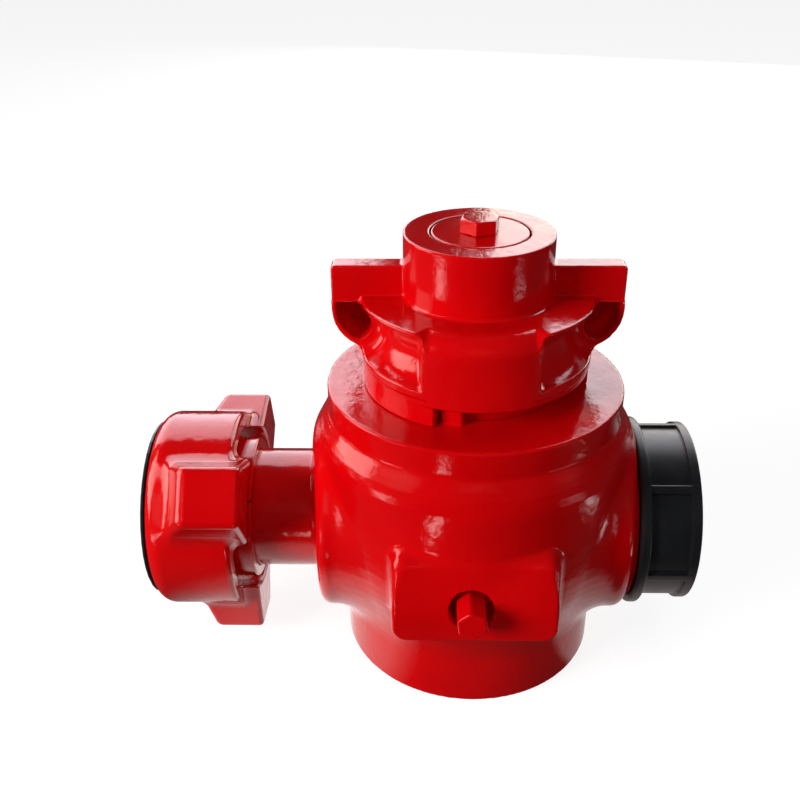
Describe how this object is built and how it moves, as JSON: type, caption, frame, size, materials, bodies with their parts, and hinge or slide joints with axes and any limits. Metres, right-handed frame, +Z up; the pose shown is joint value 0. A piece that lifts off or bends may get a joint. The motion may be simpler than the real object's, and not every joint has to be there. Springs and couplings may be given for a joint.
{
  "type": "plug valve",
  "caption": "High-pressure quarter-turn plug valve with a cast body, a turning cap with bar ears, a hammer union wing nut on one end and a threaded end with its protector.",
  "frame": {"origin": "centre of the flat base, on the valve's vertical turning axis", "axes": "+X along the flow axis towards the threaded end, -X towards the wing nut, -Y out of the grease pad, +Z up along the turning axis"},
  "size_m": [0.378, 0.239, 0.3215],
  "materials": {
    "red_enamel": "glossy thick red enamel over cast steel",
    "machined_steel": "machined",
    "seal_rubber": "smooth rubber",
    "black_plastic": "satin moulded black plastic"
  },
  "bodies": {
    "valve_body": {"valve_body": "red_enamel", "side_segment_right": "machined_steel", "side_segment_left": "machined_steel", "segment_seal_right": "seal_rubber", "segment_seal_left": "seal_rubber", "segment_pin_right": "machined_steel", "segment_pin_left": "machined_steel", "thrust_ring": "machined_steel", "adjusting_nut": "red_enamel", "adjusting_nut_seal": "seal_rubber", "grease_fitting": "red_enamel", "grease_check_spring": "machined_steel", "union_seal_ring": "seal_rubber"},
    "operating_cap": {"operating_cap": "red_enamel", "plug": "machined_steel", "plug_upper_seal": "seal_rubber", "plug_lower_seal": "seal_rubber", "cap_retainer_disc": "red_enamel", "cap_bolt": "red_enamel"},
    "retainer": {"retainer_segment_a": "red_enamel", "retainer_segment_b": "red_enamel", "retainer_segment_c": "red_enamel", "retainer_snap_ring": "machined_steel"},
    "wing_nut": {"wing_nut": "red_enamel"},
    "nut_protector": {"nut_protector": "black_plastic"},
    "thread_protector": {"thread_protector": "black_plastic"},
    "grease_check_ball": {"grease_check_ball": "machined_steel"}
  },
  "joints": [
    {"name": "valve_turn", "type": "hinge", "parent": "valve_body", "child": "operating_cap", "pos_m": [0, 0, 0.24], "axis": [0, 0, 1], "range_deg": [-90, 0]},
    {"name": "wing_nut_spin", "type": "hinge", "parent": "valve_body", "child": "retainer", "pos_m": [-0.18, 0, 0.1014], "axis": [1, 0, 0], "continuous": true},
    {"name": "wing_nut_slide", "type": "slide", "parent": "retainer", "child": "wing_nut", "axis": [1, 0, 0], "range_m": [0, 0.02]},
    {"name": "nut_protector_out", "type": "slide", "parent": "wing_nut", "child": "nut_protector", "axis": [-1, 0, 0], "range_m": [0, 0.06]},
    {"name": "thread_protector_off", "type": "slide", "parent": "valve_body", "child": "thread_protector", "axis": [1, 0, 0], "range_m": [0, 0.09]},
    {"name": "grease_check_lift", "type": "slide", "parent": "valve_body", "child": "grease_check_ball", "axis": [0, 1, 0], "range_m": [0, 0.001], "stiffness_N_per_m": 50, "springref_m": -0.001}
  ]
}
